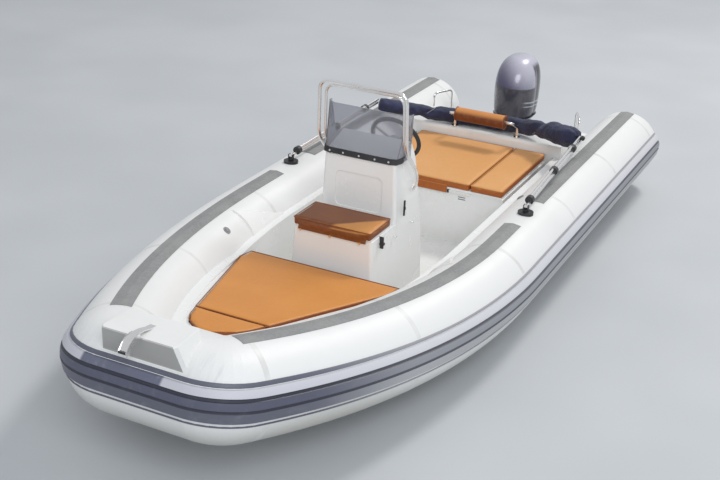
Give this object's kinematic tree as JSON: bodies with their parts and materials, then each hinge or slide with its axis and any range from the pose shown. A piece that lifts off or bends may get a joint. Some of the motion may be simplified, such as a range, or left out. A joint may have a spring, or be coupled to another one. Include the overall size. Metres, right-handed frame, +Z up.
{
  "type": "rigid inflatable boat",
  "caption": "Rigid inflatable boat with a centre console, cushioned bow, stern sunpad, folded sunshade and an outboard motor on its transom.",
  "frame": {"origin": "on the centreline at the still waterline, at the middle of the tubes' length", "axes": "+X to the bow, +Y to port, +Z up out of the water"},
  "size_m": [5.7845, 2.3518, 2.1475],
  "materials": {
    "collar_white": "satin",
    "strake_slate": "satin",
    "trim_dark": "satin",
    "patch_grey": "matt",
    "hull_gelcoat": "gloss",
    "deck_gelcoat": "gloss",
    "stainless": "polished",
    "black_plastic": "satin",
    "upholstery": "satin",
    "smoked_acrylic": "gloss",
    "canvas_navy": "matt",
    "motor_paint": "gloss"
  },
  "bodies": {
    "boat": {"tube": "collar_white", "rub_strake": "strake_slate", "strake_trim": "trim_dark", "wear_patch_front_port": "patch_grey", "wear_patch_front_stbd": "patch_grey", "wear_patch_rear_port": "patch_grey", "wear_patch_rear_stbd": "patch_grey", "hull": "hull_gelcoat", "bow_eye": "stainless", "deck_liner": "deck_gelcoat", "transom": "deck_gelcoat", "stern_deck": "deck_gelcoat", "bow_step": "deck_gelcoat", "bow_roller_channel": "stainless", "bow_roller": "black_plastic", "bow_cushion": "upholstery", "bow_cushion_tip": "upholstery", "stern_bench": "deck_gelcoat", "backrest_roll": "upholstery", "backrest_frame": "stainless", "console": "deck_gelcoat", "seat_box": "deck_gelcoat", "windscreen": "smoked_acrylic", "windscreen_strip": "black_plastic", "console_rail": "stainless", "helm_hub": "black_plastic", "throttle_box": "black_plastic", "throttle_lever": "black_plastic", "switch_panel": "black_plastic", "stern_rail_port": "stainless", "stern_rail_stbd": "stainless", "bimini_base_port": "black_plastic", "bimini_base_stbd": "black_plastic", "motor_bracket": "motor_paint", "tube_valves": "black_plastic"},
    "bench_top": {"bench_lid": "deck_gelcoat", "sunpad_main": "upholstery", "sunpad_side": "upholstery"},
    "seat_top": {"seat_lid": "deck_gelcoat", "seat_cushion": "upholstery"},
    "helm": {"steering_wheel": "black_plastic"},
    "sunshade": {"bimini_poles_port": "stainless", "bimini_poles_stbd": "stainless", "bimini_cover": "canvas_navy"},
    "swivel": {"motor_swivel": "motor_paint"},
    "motor": {"motor_leg": "motor_paint", "motor_pan": "motor_paint", "motor_cowl": "motor_paint", "motor_gearcase": "motor_paint"},
    "prop": {"propeller": "motor_paint"}
  },
  "joints": [
    {"name": "bench_lift", "type": "hinge", "parent": "boat", "child": "bench_top", "pos_m": [-1.736, 0, 0.5], "axis": [0, -1, 0], "range_deg": [0, 48]},
    {"name": "seat_lift", "type": "hinge", "parent": "boat", "child": "seat_top", "pos_m": [0.548, 0, 0.7], "axis": [0, -1, 0], "range_deg": [0, 85]},
    {"name": "sunshade_raise", "type": "hinge", "parent": "boat", "child": "sunshade", "pos_m": [-0.215, 0, 0.666], "axis": [0, 1, 0], "range_deg": [0, 95]},
    {"name": "motor_tilt", "type": "hinge", "parent": "boat", "child": "swivel", "pos_m": [-2.225, 0, 0.44], "axis": [0, 1, 0], "range_deg": [0, 38]},
    {"name": "motor_steer", "type": "hinge", "parent": "swivel", "child": "motor", "pos_m": [-2.285, 0, 0.3], "axis": [0, 0, 1], "range_deg": [-30, 30]},
    {"name": "prop_spin", "type": "hinge", "parent": "motor", "child": "prop", "pos_m": [-2.605, 0, -0.43], "axis": [1, 0, 0], "continuous": true},
    {"name": "wheel_turn", "type": "hinge", "parent": "boat", "child": "helm", "pos_m": [-0.045, 0, 1.02], "axis": [0.8988, 0, -0.4384], "range_deg": [-540, 540]}
  ],
  "couplings": [
    {"joint": "wheel_turn", "follows": "motor_steer", "ratio": 18}
  ]
}
